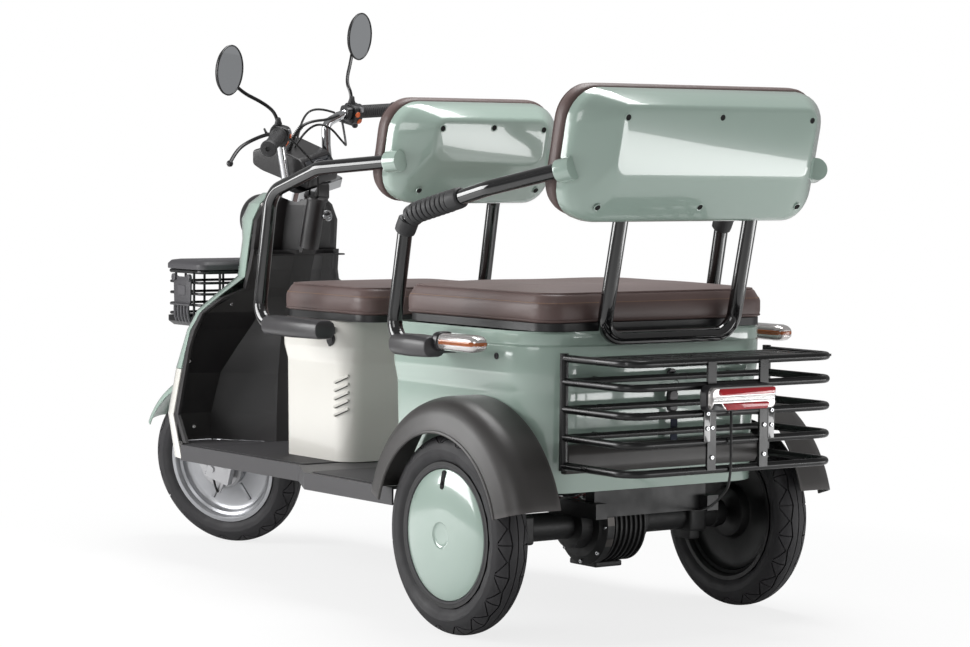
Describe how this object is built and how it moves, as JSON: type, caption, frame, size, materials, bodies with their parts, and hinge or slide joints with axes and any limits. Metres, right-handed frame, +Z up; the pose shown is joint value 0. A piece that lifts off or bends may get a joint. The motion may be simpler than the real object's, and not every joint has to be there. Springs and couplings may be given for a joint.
{
  "type": "electric passenger tricycle",
  "caption": "Three-wheeled electric passenger vehicle with a raked front fork, a driver's seat, a wide rear bench with backrest, tube armrests, a front basket and a rear carrier.",
  "frame": {"origin": "middle of the vehicle's outline, on the floor under it", "axes": "+X forward, +Y to the rider's left, +Z up"},
  "size_m": [2.1966, 0.916, 1.3535],
  "materials": {
    "amber_lens": "clear",
    "bar_chrome": "polished",
    "black_plastic": "satin",
    "cast_grey": "rough",
    "cover_grey": "satin",
    "dark_plastic": "satin",
    "floor_plastic": "textured",
    "fork_paint": "satin",
    "frame_paint": "satin",
    "green_paint": "gloss",
    "grey_plastic": "matte",
    "grip_rubber": "matte",
    "lamp_glass": "clear",
    "red_lens": "clear",
    "rim_alloy": "satin",
    "seat_vinyl": "satin",
    "spring_steel": "satin",
    "tube_black": "gloss",
    "tyre_rubber": "matte",
    "white_paint": "gloss",
    "wire_black": "satin"
  },
  "bodies": {
    "chassis": {"frame": "frame_paint", "footboard": "floor_plastic", "leg_shield": "dark_plastic", "front_cowl": "green_paint", "lower_fairing": "white_paint", "headlamp": "lamp_glass", "seat_box": "white_paint", "rear_body": "green_paint", "rear_backrest_frame": "tube_black", "front_backrest_shell": "green_paint", "front_backrest_pad": "seat_vinyl", "rear_backrest_shell": "green_paint", "rear_backrest_pad": "seat_vinyl", "armrests": "tube_black", "armrest_grips": "grip_rubber", "corner_caps": "dark_plastic", "turn_lamps": "amber_lens", "fender_left": "dark_plastic", "fender_right": "dark_plastic", "rear_bumper": "grey_plastic", "rack": "tube_black", "tail_lamp": "red_lens", "rear_axle": "cast_grey", "rear_shocks": "spring_steel", "basket": "wire_black"},
    "driver_seat": {"driver_seat_base": "black_plastic", "driver_seat_cushion": "seat_vinyl"},
    "rear_seat": {"rear_seat_base": "black_plastic", "rear_seat_cushion": "seat_vinyl"},
    "basket_lid": {"basket_lid": "black_plastic"},
    "steering": {"fork": "fork_paint", "handlebar": "bar_chrome", "handlebar_grips": "grip_rubber", "handlebar_controls": "black_plastic", "mirrors": "black_plastic", "dash": "black_plastic", "front_mudguard": "green_paint"},
    "front_wheel": {"tyre_front": "tyre_rubber", "rim_front": "rim_alloy"},
    "rear_wheel_left": {"tyre_rear_left": "tyre_rubber", "rim_rear_left": "rim_alloy", "wheel_cover_left": "cover_grey"},
    "rear_wheel_right": {"tyre_rear_right": "tyre_rubber", "rim_rear_right": "rim_alloy", "wheel_cover_right": "cover_grey"}
  },
  "joints": [
    {"name": "steer", "type": "hinge", "parent": "chassis", "child": "steering", "pos_m": [0.68724, 0, 0.55631], "axis": [-0.3746, 0, 0.9272], "range_deg": [-62, 8]},
    {"name": "front_wheel_spin", "type": "hinge", "parent": "steering", "child": "front_wheel", "pos_m": [0.88718, 0.02799, 0.20808], "axis": [-0.4209, 0.891, -0.1701], "continuous": true},
    {"name": "rear_wheel_left_spin", "type": "hinge", "parent": "chassis", "child": "rear_wheel_left", "pos_m": [-0.618, 0.378, 0.21], "axis": [0, 1, 0], "continuous": true},
    {"name": "rear_wheel_right_spin", "type": "hinge", "parent": "chassis", "child": "rear_wheel_right", "pos_m": [-0.618, -0.378, 0.21], "axis": [0, 1, 0], "continuous": true},
    {"name": "driver_seat_lid", "type": "hinge", "parent": "chassis", "child": "driver_seat", "pos_m": [0.34, 0, 0.6125], "axis": [0, 1, 0], "range_deg": [0, 50]},
    {"name": "rear_seat_lid", "type": "hinge", "parent": "chassis", "child": "rear_seat", "pos_m": [-0.288, 0, 0.6365], "axis": [0, 1, 0], "range_deg": [0, 45]},
    {"name": "basket_lid_hinge", "type": "hinge", "parent": "chassis", "child": "basket_lid", "pos_m": [0.792, 0, 0.7005], "axis": [0, -1, 0], "range_deg": [0, 70]}
  ]
}
